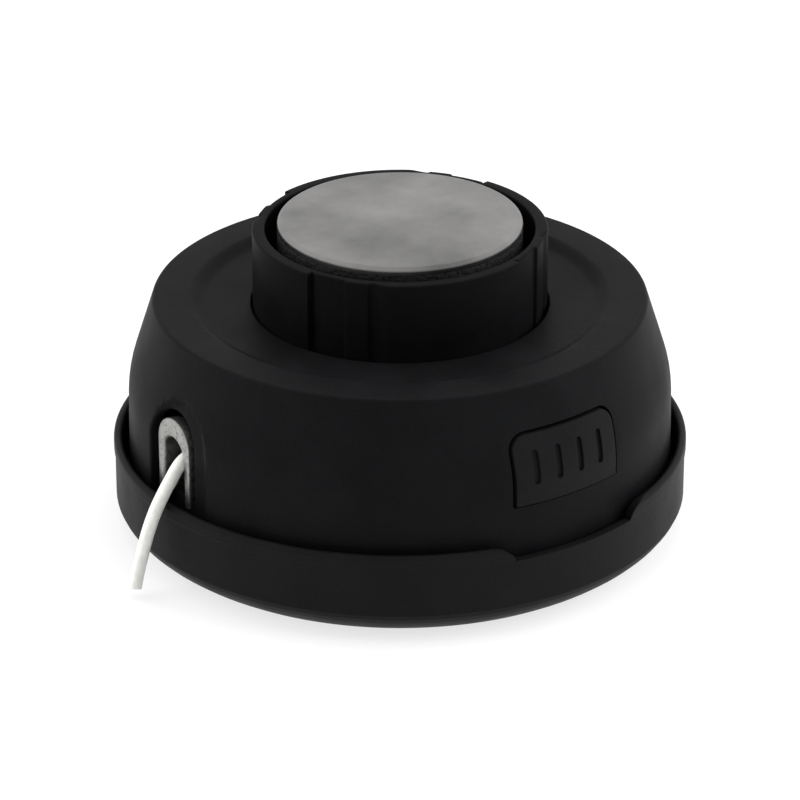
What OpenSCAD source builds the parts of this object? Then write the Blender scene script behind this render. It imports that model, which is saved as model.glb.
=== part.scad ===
// Bump feed head for a brush cutter, standing on its gearbox face with the bump knob up.
// All sizes are in millimetres. The origin is the centre of the foot ring, on the ground.
// Azimuth 0 faces the viewer (-Y) and grows to the viewer's right.

/* [Housing] */
// Outer radius of the housing lip
rim_r = 65; // [62:0.5:68]
// Height of the lip's crest above the foot
lip_z = 20.6; // [19.5:0.1:22]
// Thickness of the lip
lip_t = 2; // [1.6:0.1:2.4]
// How far the foot ring stands inside the lip
foot_inset = 6.5; // [5:0.5:9]
// Width of the foot ring
foot_w = 8.5; // [6:0.5:10]
// Height of the sharp edge where the wall turns in to the foot
edge_z = 6.2; // [5:0.1:7.5]
// Height of the parting step round the lip
step_z = 17.4; // [16.6:0.1:18]
// How far the wall stands back below that step
step_in = 0.25; // [0.15:0.05:0.4]
// Depth of the recess inside the foot ring
recess_d = 3.2; // [2.5:0.1:3.6]
// Thickness of the housing floor
floor_t = 3; // [2.5:0.1:3.5]
// Height of the ledge that carries the cover, above the floor
ledge_h = 2.8; // [2:0.1:3.4]
// Number of stiffening ribs in the recess
rib_count = 12; // [8:1:16]
// Thickness of a stiffening rib
rib_t = 2; // [1.5:0.1:2.5]
// Radius of the central hub
hub_r = 14; // [13:0.1:14.4]
// Bore of the hub above the drive insert
hub_bore_r = 9; // [8:0.1:9.3]

/* [Drive insert] */
// Width across the flats of the steel insert
insert_flats = 19; // [18.8:0.1:20]
// Length of the steel insert
insert_len = 24; // [18:0.5:28]
// Radius of the tapped hole at the thread's crests
thread_r = 5.19; // [4.3:0.01:5.5]

/* [Cover] */
// Gap between the lip and the cover
lip_gap = 1.3; // [1:0.1:1.6]
// Wall of the cover
cover_t = 2.5; // [2.2:0.1:2.8]
// Height of the cover's outer top ring
cover_top_z = 53.6; // [52:0.1:55]
// How far the inner part of the top lies below the outer ring
top_dip = 1.6; // [1:0.1:2]
// Distance from the side's foot to the slope down to the inner part
top_ring_w = 14.2; // [13:0.1:15.2]
// Width of that slope
slope_w = 4; // [2.5:0.1:5]
// Height at which the side starts to lean in
bend_z = 31; // [30:0.5:33]
// Radius of the curve between the upright side and the lean
bend_r = 30; // [26:1:34]
// Draft of the lower side, in degrees
side_draft = 1; // [0.5:0.1:1.5]
// Lean of the upper side, in degrees
side_lean = 17.7; // [16:0.1:19]
// Rounding of the shoulder
shoulder_r = 2.4; // [1.5:0.1:3]

/* [Line exits] */
// Azimuth of the left line exit, in degrees; the other one is opposite
exit_az = -56.7; // [-60:0.1:-50]
// Half width of the eyelet's line hole
eye_hole_r = 4.2; // [3.8:0.1:4.4]
// Height of the centre of the hole's round top
eye_z = 29; // [27.5:0.1:30]
// Half width of the eyelet's face
eye_face_r = 6.4; // [6.2:0.1:7]
// How far the round top of the face stands higher than that of the hole
eye_crown = 2.5; // [0:0.1:3]
// Half width of the eyelet's neck, between its two flanges
eye_neck_r = 5.6; // [5.4:0.1:5.8]
// Gap between the eyelet's back and the edge of the spool
eye_back_gap = 4; // [3.6:0.1:4.8]
// How far the eyelet's face stands behind the cover's side
eye_inset = 1.5; // [1:0.1:2]
// Thickness of the eyelet's front flange
eye_front_t = 2.8; // [2.4:0.1:3]
// Thickness of the eyelet's back flange
eye_back_t = 1.5; // [1.2:0.1:2]
// Gap between the eyelet's face and the arch in the cover
arch_gap = 1.5; // [1:0.1:1.8]
// Width of the scoop beside that arch, on the side that the line drags over
scoop_w = 5.3; // [4:0.1:6]
// Depth of the scoop
scoop_d = 1.1; // [0.8:0.1:1.3]
// Widening of the scoop's side for each millimetre outward
scoop_slope = 2.2; // [1.5:0.1:3]
// Diameter of the cutting line
line_d = 3; // [2:0.1:3]

/* [Release tabs] */
// Azimuth of the right release tab, in degrees; the other one is opposite
tab_az = 37; // [34:0.5:40]
// Half width of the pad
pad_half_w = 13.7; // [13:0.1:15]
// Height of the pad's lower edge
pad_low_z = 28.3; // [27:0.1:29]
// Height of the pad's upper edge
pad_top_z = 43.8; // [43:0.1:45.5]
// Rounding of the pad's upper corners
pad_corner_r = 3.5; // [2.5:0.1:4.5]
// How far the pad stands proud of the cover
pad_proud = 0.3; // [0.1:0.05:0.5]
// Thickness of the pad and of its arm
pad_t = 2.5; // [2.2:0.1:2.8]
// Gap between the pad and its window
pad_gap = 0.6; // [0.4:0.05:0.8]
// Number of finger grooves in the pad
grip_count = 4; // [3:1:5]
// Distance between two finger grooves
grip_pitch = 5.8; // [4.6:0.1:6]
// Width of a finger groove
grip_w = 1.6; // [1:0.1:1.8]
// Height of the grooves
grip_h = 7.6; // [5:0.1:9]
// Depth of a finger groove
grip_d = 0.6; // [0.3:0.05:0.7]
// Radius of the bead that the tab turns on
bead_r = 2; // [1.8:0.05:2.2]
// Half length of that bead
bead_half = 7.5; // [6.5:0.1:7.8]
// How far the lip drops in front of a tab
dip_h = 3.5; // [3:0.1:3.5]
// Half width of the dip's floor
dip_half_w = 16; // [15:0.1:17.5]
// Width of the curved flank at each end of the dip
dip_flank = 6.5; // [4.5:0.1:7.5]

/* [Spool] */
// How far the knob and spool move when the head is bumped
travel = 6; // [5:0.1:6.2]
// Height of the spool between the outer faces of its flanges
spool_h = 27.8; // [27.5:0.1:28.2]
// Gap between the spool's flanges and the inside of the cover
flange_gap = 12.2; // [11.2:0.1:14.2]
// Thickness of a flange
flange_t = 2.2; // [1.8:0.1:2.4]
// Thickness of the divider between the two windings
divider_t = 1.8; // [1.4:0.1:2.2]
// Wall of the spool's sleeve, which the knob's screws run down
sleeve_wall = 5.4; // [5:0.1:5.8]
// Thickness of the web that runs on the hub
web_t = 3; // [2.5:0.1:4]
// Depth of that web below the spool's top face
web_depth = 4; // [3:0.1:5]
// Number of ratchet teeth in each ring
tooth_count = 12; // [12:1:12]
// Height of a ratchet tooth
tooth_h = 4; // [3.6:0.1:4]
// Distance from the hole in the cover to the ratchet rings
tooth_inset = 2.65; // [1.65:0.05:3.65]
// Width of the ratchet rings
tooth_ring_w = 6; // [5:0.1:7]
// Width of a tooth at its root
tooth_root_w = 5; // [4.5:0.1:5]
// Width of a tooth at its tip
tooth_tip_w = 3; // [2.5:0.1:3.2]
// How far a full winding stays inside the flanges
winding_inset = 5; // [3:0.1:9]
// Turns of line side by side in each half of the spool
turns_wide = 3; // [3:1:3]

/* [Spring] */
// Diameter of the spring's wire
wire_d = 1.8; // [1.6:0.1:1.9]
// Number of turns of the spring
spring_turns = 7; // [6:1:8]
// Thickness of the thrust washer on the spring
washer_t = 1.4; // [1:0.1:1.8]

/* [Knob] */
// Gap between the button and the knob's collar
button_gap = 2.7; // [2.1:0.1:3]
// Wall of the collar between its lobes
collar_t = 1.75; // [1.5:0.05:2]
// How far the lobes stand out from that wall
lobe_rise = 1.15; // [0.8:0.05:1.4]
// How far the small rib in each gap stands out
rib_rise = 0.65; // [0.4:0.05:0.8]
// Height of the knob's rim above the spool
knob_h = 24.9; // [24:0.1:26]
// Azimuth of the sharp end of the first lobe, in degrees
lobe_end_az = -37; // [-50:1:-30]
// Angle that a lobe covers, in degrees
lobe_angle = 56; // [50:1:60]
// Depth of the groove at a lobe's sharp end
groove_d = 0.3; // [0.2:0.05:0.6]
// Angle that this groove covers
groove_angle = 0.8; // [0.5:0.1:2]
// Angle from a lobe's sharp end to the small rib
rib_start_angle = 15; // [12:1:18]
// Angle that the small rib covers
rib_angle = 11; // [8:1:12]
// Height of the screw bosses between the spool and the knob's floor
screw_boss_h = 5; // [4.6:0.1:5.5]
// Thickness of the knob's floor
knob_floor_t = 3; // [2.5:0.1:3.2]
// Gap between the knob and the hole in the cover
knob_gap = 0.35; // [0.3:0.05:0.6]
// Number of screws that hold the knob to the spool
screw_count = 4; // [3:1:6]
// Gap between the boss of the bearing and the heads of the screws
screw_gap = 1.7; // [1.4:0.1:2]
// Radius of a screw's shank
screw_r = 1.5; // [1.3:0.1:1.6]
// Length of a screw below its head
screw_len = 14; // [11:0.5:15]
// Radius of a screw's head
screw_head_r = 3.2; // [2.8:0.1:3.4]
// Height of a screw's head
screw_head_h = 2; // [1.6:0.1:2.2]

/* [Bearing] */
// Outer radius of the ball bearing
bearing_out_r = 14; // [13.5:0.1:14.5]
// Bore radius of the ball bearing
bearing_bore_r = 6; // [5:0.1:6.2]
// Width of the ball bearing
bearing_w = 8; // [7:0.1:8.5]
// Number of balls
ball_count = 8; // [7:1:8]
// Play of a ball in its grooves and in the cage
ball_play = 0.06; // [0.04:0.01:0.1]
// Wall of the boss that holds the bearing
bearing_boss_t = 3.4; // [3:0.1:4]

/* [Button] */
// Radius of the button
button_r = 27.4; // [26.5:0.1:28]
// Height of the button's steel face above the knob's rim
button_rise = 1.8; // [1:0.1:2.5]
// Thickness of the steel face
cap_t = 1; // [0.8:0.1:1.2]
// Height of the steel face's rim
cap_rim_h = 1.8; // [1.5:0.1:2]
// Rounding of the steel face's edge
cap_edge_r = 0.9; // [0.5:0.1:1.1]
// Thickness of the button's top
button_t = 3.6; // [3:0.1:4.5]
// Thickness of the button's skirt
skirt_t = 3; // [2.5:0.1:3.5]
// Height of the skirt's lower edge over the cover when the head is bumped
skirt_clear = 1; // [0.5:0.1:3]
// Thickness of the retaining clip
clip_t = 1.1; // [0.9:0.1:1.3]

/* [Hidden] */
$fn = 96;

// Clearances and small sizes shared by several pieces
over = 1;             // overrun of a cut
join = 0.4;           // how far two parts of one moulding run into each other
run_gap = 0.08;       // running clearance of a shaft in its hole
seat_gap = 0.05;      // clearance of a piece that slides into its seat
tooth_gap = 0.5;      // clearance over the tip of a ratchet tooth
black = "#1c1c1e";
steel = "#b9bbbd";

// Heights of the housing
floor_z = recess_d + floor_t;
ledge_z = floor_z + ledge_h;
boss_z = recess_d / 5;            // underside of the central boss
boss_r = hub_r + floor_t;
foot_r = rim_r - foot_inset;
foot_in_r = foot_r - foot_w;
foot_draft = recess_d / 3;
wall_r = rim_r - step_in;

// Cover: the side is an upright line, an arc and a leaning line
cover_r = rim_r - lip_t - lip_gap;
cover_in_r = cover_r - cover_t;
side_r = cover_r - (bend_z - ledge_z) * tan(side_draft);
arc_r0 = side_r - bend_r * cos(side_draft);
arc_z0 = bend_z - bend_r * sin(side_draft);
lean_r = arc_r0 + bend_r * cos(side_lean);
lean_z = arc_z0 + bend_r * sin(side_lean);
flat_z = cover_top_z - top_dip;
slope_out_r = cover_r - top_ring_w;
slope_in_r = slope_out_r - slope_w;
ceiling_z = flat_z - cover_t;
collar_bore_r = button_r + button_gap;
knob_gap_r = collar_bore_r + collar_t;
knob_rib_r = knob_gap_r + rib_rise;
lobe_r = knob_gap_r + lobe_rise;
cover_hole_r = lobe_r + knob_gap;

// Spool and everything it carries
flange_r = cover_in_r - flange_gap;
winding_r = flange_r - winding_inset;
screw_circle_r = bearing_out_r + bearing_boss_t + screw_gap + screw_head_r;
sleeve_r = screw_circle_r + sleeve_wall / 2;
sleeve_bore_r = sleeve_r - sleeve_wall;
spring_r = (hub_r + sleeve_bore_r) / 2;
tooth_in_r = cover_hole_r + tooth_inset;
tooth_out_r = tooth_in_r + tooth_ring_w;
spool_top_z = ceiling_z - tooth_gap - tooth_h;
spool_low_z = spool_top_z - spool_h;
chamber_h = (spool_h - 2 * flange_t - divider_t) / 2;
web_top_z = spool_top_z - web_depth;
web_low_z = web_top_z - web_t;
washer_z = web_low_z - washer_t;
knob_floor_z = spool_top_z + screw_boss_h;
knob_deck_z = knob_floor_z + knob_floor_t;
knob_rim_z = spool_top_z + knob_h;
hub_top_z = knob_floor_z - travel - tooth_gap;
screw_boss_r = screw_head_r + seat_gap;

// Bearing and button
bearing_shelf = 2;                                  // shelf under the outer ring
bearing_z = knob_deck_z + bearing_shelf;
bearing_top_z = bearing_z + bearing_w;
bearing_mid_z = bearing_z + bearing_w / 2;
bearing_section = bearing_out_r - bearing_bore_r;
pitch_r = bearing_bore_r + bearing_section / 2;
ring_share = 0.3;                                   // wall of a ring beside its groove, as a share of the section
ball_share = 0.2975;                                // radius of a ball, as a share of the section
ring_t = ring_share * bearing_section;
ball_r = ball_share * bearing_section;
clip_mouth = 40;                                    // angle of the clip's open side
shelf_bore_r = bearing_out_r - bearing_boss_t;
boss_top_z = bearing_top_z + clip_t;
cap_top_z = knob_rim_z + button_rise;
cap_low_z = cap_top_z - cap_rim_h;
button_low_z = cap_top_z - cap_t - button_t;
skirt_low_z = cover_top_z + travel + skirt_clear;
clip_groove = bearing_bore_r / 10;

// Line exits
eye_face_x = side_r - eye_inset;
eye_back_x = flange_r + eye_back_gap;
post_out_x = eye_face_x - eye_front_t - seat_gap;
post_in_x = eye_back_x + eye_back_t + seat_gap;
post_half_w = eye_face_r + arch_gap * 2.5;
post_top_z = eye_z + eye_neck_r;
eye_low_z = lip_z - lip_t;
arch_half_w = eye_face_r + arch_gap;
arch_top_z = eye_z + eye_crown + eye_face_r + arch_gap + seat_gap;
scoop_r = arch_half_w + scoop_w;
scoop_shift = scoop_w * 0.8;
scoop_z = arch_top_z - arch_half_w + scoop_w * 0.94;

// Release tabs
bead_x = cover_in_r - bead_r - cover_t / 2;
bead_z = floor_z + bead_r + floor_t / 3;
bead_wrap = bead_r / 2;
arm_top_z = pad_top_z - pad_corner_r / 2;
tab_seat_half = bead_half + lip_t * 0.9;
grip_z = pad_low_z + (pad_top_z - pad_low_z) * 0.53;

// Route of the cutting line out of the left eyelet: distance out, distance sideways, height
line_route = [
    [51.5, 2.3, 29.6], [54, 2.3, 29.6], [56.5, 2.3, 29.4], [58.6, 2.4, 28.7], [60.6, 3.1, 27.5],
    [62.6, 3.9, 25.7], [64, 4.25, 24.2], [65.3, 4.5, 22.5], [66.7, 4.65, 20.5], [68.2, 4.7, 17.5],
    [69.4, 4.65, 14.4], [70.3, 4.5, 11.3], [71.2, 4.4, 8], [72.1, 4.45, 5], [72.5, 4.55, 3.6], [72.9, 4.7, 2.2]
];

// Shapes and functions that several pieces use

// Turns what is built along +X to an azimuth
module at_az(a) { rotate([0, 0, a - 90]) children(); }

// Extrudes an outline in (sideways, up) along +X, from x0 to x1
module outward(x0, x1) { translate([x0, 0, 0]) rotate([90, 0, 90]) linear_extrude(x1 - x0) children(); }

// A plain ring standing on z0
module ring(r0, r1, z0, z1) {
    translate([0, 0, z0]) rotate_extrude() translate([r0, 0]) square([r1 - r0, z1 - z0]);
}

// A ring sector from azimuth a0 over angle da
module sector(r0, r1, z0, z1, a0, da) {
    translate([0, 0, z0]) at_az(a0) rotate_extrude(angle = da) translate([r0, 0]) square([r1 - r0, z1 - z0]);
}

// Points of an arc round (x, y)
function arc(x, y, r, a0, a1, n) = [for (i = [0 : n]) let (a = a0 + (a1 - a0) * i / n) [x + r * cos(a), y + r * sin(a)]];

// Points of a smooth curve from p to q that leans to the corner c
function curve(p, c, q, n) = [for (i = [0 : n]) let (t = i / n) p * (1 - t) * (1 - t) + 2 * c * t * (1 - t) + q * t * t];

// The cover's side, moved outward by off, from height z0 up to z1
function side_line(off, z0, z1) = concat(
    [[side_r + (bend_z - z0) * tan(side_draft) + off, z0]],
    arc(arc_r0, arc_z0, bend_r + off, side_draft, side_lean, 8),
    [[lean_r - (z1 - lean_z) * tan(side_lean) + off / cos(side_lean), z1]]
);
function flip(list) = [for (i = [len(list) - 1 : -1 : 0]) list[i]];

// A shell that follows the cover's side between two offsets
module side_shell(in, out, z0, z1) {
    rotate_extrude() polygon(concat(side_line(in, z0, z1), flip(side_line(out, z0, z1))));
}

// An arch with upright sides, open at the bottom
module arch(w, top, low) {
    translate([-w, low]) square([2 * w, top - w - low]);
    translate([0, top - w]) circle(w);
}

// The outline of a release pad, grown by g
module pad_outline(g) {
    r = pad_corner_r + g;
    w = pad_half_w + g;
    translate([-w, pad_low_z - g / 2]) square([2 * w, pad_top_z + g - r - pad_low_z + g / 2]);
    translate([r - w, pad_low_z]) square([2 * (w - r), pad_top_z + g - pad_low_z]);
    for (s = [-1, 1]) translate([s * (w - r), pad_top_z + g - r]) circle(r);
}

// A ring of ratchet teeth with one steep face each; dir is 1 upward and -1 downward
module teeth(z, dir, side, turn) {
    for (i = [0 : tooth_count - 1]) at_az(turn + i * 360 / tooth_count) outward(tooth_in_r, tooth_out_r)
        polygon([
            [side * seat_gap, z - dir * join],
            [side * seat_gap, z + dir * tooth_h],
            [side * tooth_tip_w, z + dir * tooth_h],
            [side * tooth_root_w, z],
            [side * tooth_root_w, z - dir * join]
        ]);
}

// Housing

module housing_outline() {
    polygon(concat(
        [[0, boss_z], [boss_r, boss_z], [boss_r + foot_draft, recess_d], [foot_in_r - foot_draft, recess_d], [foot_in_r, 0]],
        curve([foot_r, 0], [wall_r - lip_t / 2, edge_z / 2], [wall_r, edge_z], 5),
        [[wall_r, step_z], [rim_r, step_z + step_in]],
        arc(rim_r - lip_t / 2, lip_z - lip_t / 2, lip_t / 2, 0, 180, 8),
        [[rim_r - lip_t, ledge_z], [cover_in_r - lip_t / 2, ledge_z], [cover_in_r - lip_t, floor_z]],
        [[hub_r, floor_z], [hub_r, hub_top_z], [0, hub_top_z]]
    ));
}

// Two upright posts with a channel between them that the eyelet slides into
module eyelet_seat() {
    difference() {
        outward(post_in_x, post_out_x)
            translate([-post_half_w, floor_z - join]) square([2 * post_half_w, post_top_z - floor_z + join]);
        outward(post_in_x - over, post_out_x + over)
            translate([-eye_neck_r - seat_gap, eye_low_z]) square([2 * (eye_neck_r + seat_gap), post_top_z]);
    }
}

// A block with an open round groove for the bead of a release tab
module tab_seat() {
    difference() {
        outward(bead_x - bead_r - lip_t, bead_x + bead_r + join)
            translate([-tab_seat_half, floor_z - join]) square([2 * tab_seat_half, bead_z + bead_wrap - floor_z + join]);
        tab_seat_groove();
    }
}

module tab_seat_groove() {
    translate([bead_x, 0, bead_z]) rotate([90, 0, 0])
        cylinder(r = bead_r + run_gap, h = 2 * (bead_half + seat_gap * 2), center = true);
}

// The low stretch of lip in front of a release tab, as a cutter
module lip_dip() {
    w = dip_half_w + dip_flank;
    z = lip_z - dip_h;
    up = lip_z + over;
    flank = [for (a = [0 : 15 : 90]) [dip_half_w + dip_flank * (1 - cos(a)), z + dip_h * sin(a)]];
    outward(cover_in_r - lip_t, rim_r + over)
        polygon(concat([for (p = flip(flank)) [-p[0], p[1]]], flank, [[w + join, up], [-w - join, up]]));
}

module housing() {
    color(black) difference() {
        union() {
            rotate_extrude() housing_outline();
            for (i = [0 : rib_count - 1]) rotate([0, 0, (i + 0.5) * 360 / rib_count])
                translate([boss_r, -rib_t / 2, boss_z]) cube([foot_in_r - boss_r, rib_t, recess_d - boss_z + join]);
            for (s = [0, 180]) {
                at_az(exit_az + s) eyelet_seat();
                at_az(tab_az + s) tab_seat();
            }
            teeth(floor_z, 1, -1, -180 / tooth_count);
        }
        for (s = [0, 180]) at_az(tab_az + s) {
            lip_dip();
            tab_seat_groove();
        }
        translate([0, 0, boss_z - over]) cylinder(r = insert_flats / 2 / cos(30), h = insert_len + over, $fn = 6);
        translate([0, 0, boss_z]) cylinder(r = hub_bore_r, h = hub_top_z);
    }
}

// Steel insert moulded into the hub, tapped for the gearbox shaft
module drive_insert() {
    lead = thread_r / 6;
    color(steel) difference() {
        translate([0, 0, boss_z]) cylinder(r = insert_flats / 2 / cos(30), h = insert_len, $fn = 6);
        translate([0, 0, boss_z - over]) cylinder(r = thread_r, h = insert_len + 2 * over);
        translate([0, 0, boss_z - lead]) cylinder(r1 = thread_r + 2 * lead, r2 = thread_r, h = 2 * lead);
    }
}

// Cover

module cover_outline() {
    shoulder_z = cover_top_z - shoulder_r;
    shoulder_x = lean_r - (shoulder_z - lean_z) * tan(side_lean) - shoulder_r / cos(side_lean);
    slope = [for (i = [0 : 8]) let (t = i / 8)
        [slope_out_r - (slope_out_r - slope_in_r) * t, cover_top_z - top_dip * (1 - cos(180 * t)) / 2]];
    polygon(concat(
        [[cover_r, ledge_z]],
        arc(arc_r0, arc_z0, bend_r, side_draft, side_lean, 8),
        arc(shoulder_x, shoulder_z, shoulder_r, side_lean, 90, 8),
        slope,
        [[cover_hole_r, flat_z], [cover_hole_r, ceiling_z]],
        flip(side_line(-cover_t, ledge_z, ceiling_z))
    ));
}

// A shallow scoop with a sloping side, on the side of the arch that the line drags over
module scoop() {
    intersection() {
        hull() for (x = [-4 * over, over]) outward(side_r + x, side_r + x + join) translate([scoop_shift, 0])
            arch(scoop_r + scoop_slope * x, scoop_z + scoop_r + scoop_slope * x, ledge_z - over);
        side_shell(-scoop_d, 2 * over, ledge_z - over, cover_top_z);
    }
}

module cover() {
    color(black) {
        difference() {
            rotate_extrude() cover_outline();
            for (s = [0, 180]) {
                at_az(tab_az + s) outward(bead_x - pad_half_w, rim_r) pad_outline(pad_gap);
                at_az(exit_az + s) {
                    outward(post_in_x, rim_r) arch(arch_half_w, arch_top_z, ledge_z - over);
                    scoop();
                }
            }
        }
        teeth(ceiling_z, -1, -1, 0);
    }
}

// Eyelet: a horseshoe with a rounded mouth and a groove round its edge, as (distance from the middle, depth)
mouth_t = eye_face_r - eye_hole_r;
mouth_in_r = mouth_t * 0.5;
mouth_out_r = mouth_t * 0.25;
eyelet_edge = concat(
    [[0, eye_back_x], [eye_face_r, eye_back_x], [eye_face_r, eye_back_x + eye_back_t]],
    [[eye_neck_r, eye_back_x + eye_back_t], [eye_neck_r, eye_face_x - eye_front_t], [eye_face_r, eye_face_x - eye_front_t]],
    arc(eye_face_r - mouth_out_r, eye_face_x - mouth_out_r, mouth_out_r, 0, 90, 6),
    [[0, eye_face_x]]
);
eyelet_hole = concat(
    [[0, eye_back_x - over], [eye_hole_r + eye_back_t / 2, eye_back_x - over]],
    arc(eye_hole_r + eye_back_t / 2, eye_back_x + eye_back_t / 2, eye_back_t / 2, 270, 180, 4),
    arc(eye_hole_r + mouth_in_r, eye_face_x - mouth_in_r, mouth_in_r, 180, 90, 8),
    [[eye_hole_r + mouth_in_r, eye_face_x + over], [0, eye_face_x + over]]
);

// Turns an outline into an arch with upright sides from height low, whose round top is centred on height top
module arch_sweep(outline, low, top) {
    translate([0, 0, top]) rotate([90, 0, 90]) rotate_extrude(angle = 180) polygon(outline);
    translate([0, 0, low]) linear_extrude(top - low)
        polygon(concat([for (p = outline) [p[1], p[0]]], [for (p = flip(outline)) [p[1], -p[0]]]));
}

module eyelet() {
    color("#c9c9c6") difference() {
        arch_sweep(eyelet_edge, eye_low_z, eye_z + eye_crown);
        arch_sweep(eyelet_hole, eye_low_z - over, eye_z);
    }
}
module eyelet_left() { at_az(exit_az) eyelet(); }
module eyelet_right() { at_az(exit_az + 180) eyelet(); }

// Release tab: a pad in the cover's window on an arm that turns on a bead
module release_tab() {
    rib = pad_t * 0.7;
    color(black) {
        difference() {
            intersection() {
                side_shell(-pad_t, pad_proud, pad_low_z - over, pad_top_z + over);
                outward(bead_x - pad_t, rim_r) pad_outline(0);
            }
            intersection() {
                side_shell(pad_proud - grip_d, 2 * over, pad_low_z, pad_top_z);
                outward(bead_x, rim_r + over) for (i = [0 : grip_count - 1])
                    translate([(i - (grip_count - 1) / 2) * grip_pitch, grip_z]) {
                        translate([-grip_w / 2, -(grip_h - grip_w) / 2]) square([grip_w, grip_h - grip_w]);
                        for (s = [-1, 1]) translate([0, s * (grip_h - grip_w) / 2]) circle(grip_w / 2);
                    }
            }
        }
        outward(bead_x - pad_t / 2, bead_x + pad_t / 2)
            translate([-bead_half, bead_z]) square([2 * bead_half, arm_top_z - bead_z]);
        translate([bead_x, 0, bead_z]) rotate([90, 0, 0]) cylinder(r = bead_r, h = 2 * bead_half, center = true);
        intersection() {
            rotate_extrude() polygon(concat([[0, pad_low_z]], side_line(-pad_t / 2, pad_low_z, arm_top_z), [[0, arm_top_z]]));
            outward(bead_x - pad_t / 2, rim_r) {
                for (s = [-1, 1]) translate([s * (bead_half - rib / 2) - rib / 2, pad_low_z]) square([rib, arm_top_z - pad_low_z]);
                translate([-bead_half, pad_low_z]) square([2 * bead_half, pad_t]);
            }
        }
    }
}
module release_tab_left() { at_az(tab_az + 180) release_tab(); }
module release_tab_right() { at_az(tab_az) release_tab(); }

// Spring under the spool, with closed ends, as rings of points along a coil
module spring() {
    sides = 8;
    per_turn = 20;
    n = spring_turns * per_turn;
    low = floor_z + wire_d / 2;
    high = washer_z - wire_d / 2;
    closed = wire_d * 1.05;
    pitch = (high - low - 2 * closed) / (spring_turns - 2);
    function rise(t) = t < 1 ? closed * t
        : t > spring_turns - 1 ? high - low - closed * (spring_turns - t)
        : closed + (t - 1) * pitch;
    rings = [for (i = [0 : n]) let (t = i / per_turn, a = 360 * t)
        for (k = [0 : sides - 1]) let (b = 360 * k / sides, r = spring_r + wire_d / 2 * cos(b))
            [r * cos(a), r * sin(a), low + rise(t) + wire_d / 2 * sin(b)]];
    walls = [for (i = [0 : n - 1]) for (k = [0 : sides - 1]) let (j = (k + 1) % sides)
        [i * sides + k, i * sides + j, (i + 1) * sides + j, (i + 1) * sides + k]];
    ends = [[for (k = [sides - 1 : -1 : 0]) k], [for (k = [0 : sides - 1]) n * sides + k]];
    color(steel) polyhedron(points = rings, faces = [for (f = concat(walls, ends)) flip(f)], convexity = 10);
}

// Washer between the spring, which stands still, and the spool, which turns
module thrust_washer() {
    color(steel) ring(hub_r + run_gap * 4, sleeve_bore_r - run_gap * 6, washer_z, web_low_z);
}

// Spool: one moulding with a sleeve, three flanges, a web and two rings of teeth
module spool() {
    notch_w = line_d * 1.2;
    color(black) difference() {
        union() {
            ring(sleeve_bore_r, sleeve_r, spool_low_z, spool_top_z);
            ring(hub_r + run_gap, sleeve_bore_r + join, web_low_z, web_top_z);
            for (z = [spool_low_z, spool_top_z - flange_t]) ring(sleeve_r - join, flange_r, z, z + flange_t);
            ring(sleeve_r - join, winding_r + line_d / 2, spool_low_z + flange_t + chamber_h, spool_low_z + flange_t + chamber_h + divider_t);
            teeth(spool_top_z, 1, 1, 0);
            teeth(spool_low_z, -1, 1, 0);
            for (i = [0 : screw_count - 1]) at_az(45 + i * 360 / screw_count) translate([screw_circle_r, 0, spool_top_z - join])
                cylinder(r = screw_boss_r, h = screw_boss_h + join);
        }
        for (i = [0 : screw_count - 1]) at_az(45 + i * 360 / screw_count)
            translate([screw_circle_r, 0, knob_deck_z - screw_len]) cylinder(r = screw_r, h = screw_len);
        for (a = [0, 180]) at_az(a) outward(flange_r - line_d, flange_r + over) {
            translate([-notch_w / 2, spool_low_z - over]) square([notch_w, flange_t + 2 * over]);
            translate([-notch_w / 2, spool_top_z - flange_t - over]) square([notch_w, flange_t + 2 * over]);
        }
    }
}

// A full winding, with the outermost turns showing as ridges
module winding(z) {
    pitch = chamber_h / turns_wide;
    core = winding_r - line_d / 2;
    color("#e6e7e4") translate([0, 0, z]) rotate_extrude() {
        translate([sleeve_r, seat_gap]) square([core - sleeve_r, chamber_h - 2 * seat_gap]);
        for (i = [0 : turns_wide - 1]) translate([core, pitch * (i + 0.5)]) circle(line_d / 2);
    }
}
module line_winding_lower() { winding(spool_low_z + flange_t); }
module line_winding_upper() { winding(spool_top_z - flange_t - chamber_h); }

// A free end of cutting line: rings of points swept along its route
module line_end() {
    sides = 8;
    n = len(line_route) - 1;
    function unit(v) = v / norm(v);
    function along(i) = unit(line_route[min(i + 1, n)] - line_route[max(i - 1, 0)]);
    rings = [for (i = [0 : n]) let (t = along(i), u = unit(cross([0, 1, 0], t)), v = cross(t, u))
        for (k = [0 : sides - 1]) line_route[i] + line_d / 2 * (cos(360 * k / sides) * u + sin(360 * k / sides) * v)];
    walls = [for (i = [0 : n - 1]) for (k = [0 : sides - 1]) let (j = (k + 1) % sides)
        [i * sides + k, (i + 1) * sides + k, (i + 1) * sides + j, i * sides + j]];
    ends = [[for (k = [0 : sides - 1]) k], [for (k = [sides - 1 : -1 : 0]) n * sides + k]];
    color("#e6e7e4") polyhedron(points = rings, faces = concat(walls, ends), convexity = 4);
}
module line_end_left() { at_az(exit_az) line_end(); }
module line_end_right() { at_az(exit_az + 180) line_end(); }

// Knob: a lobed collar, a floor on four screw bosses and the seat of the ball bearing

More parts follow.
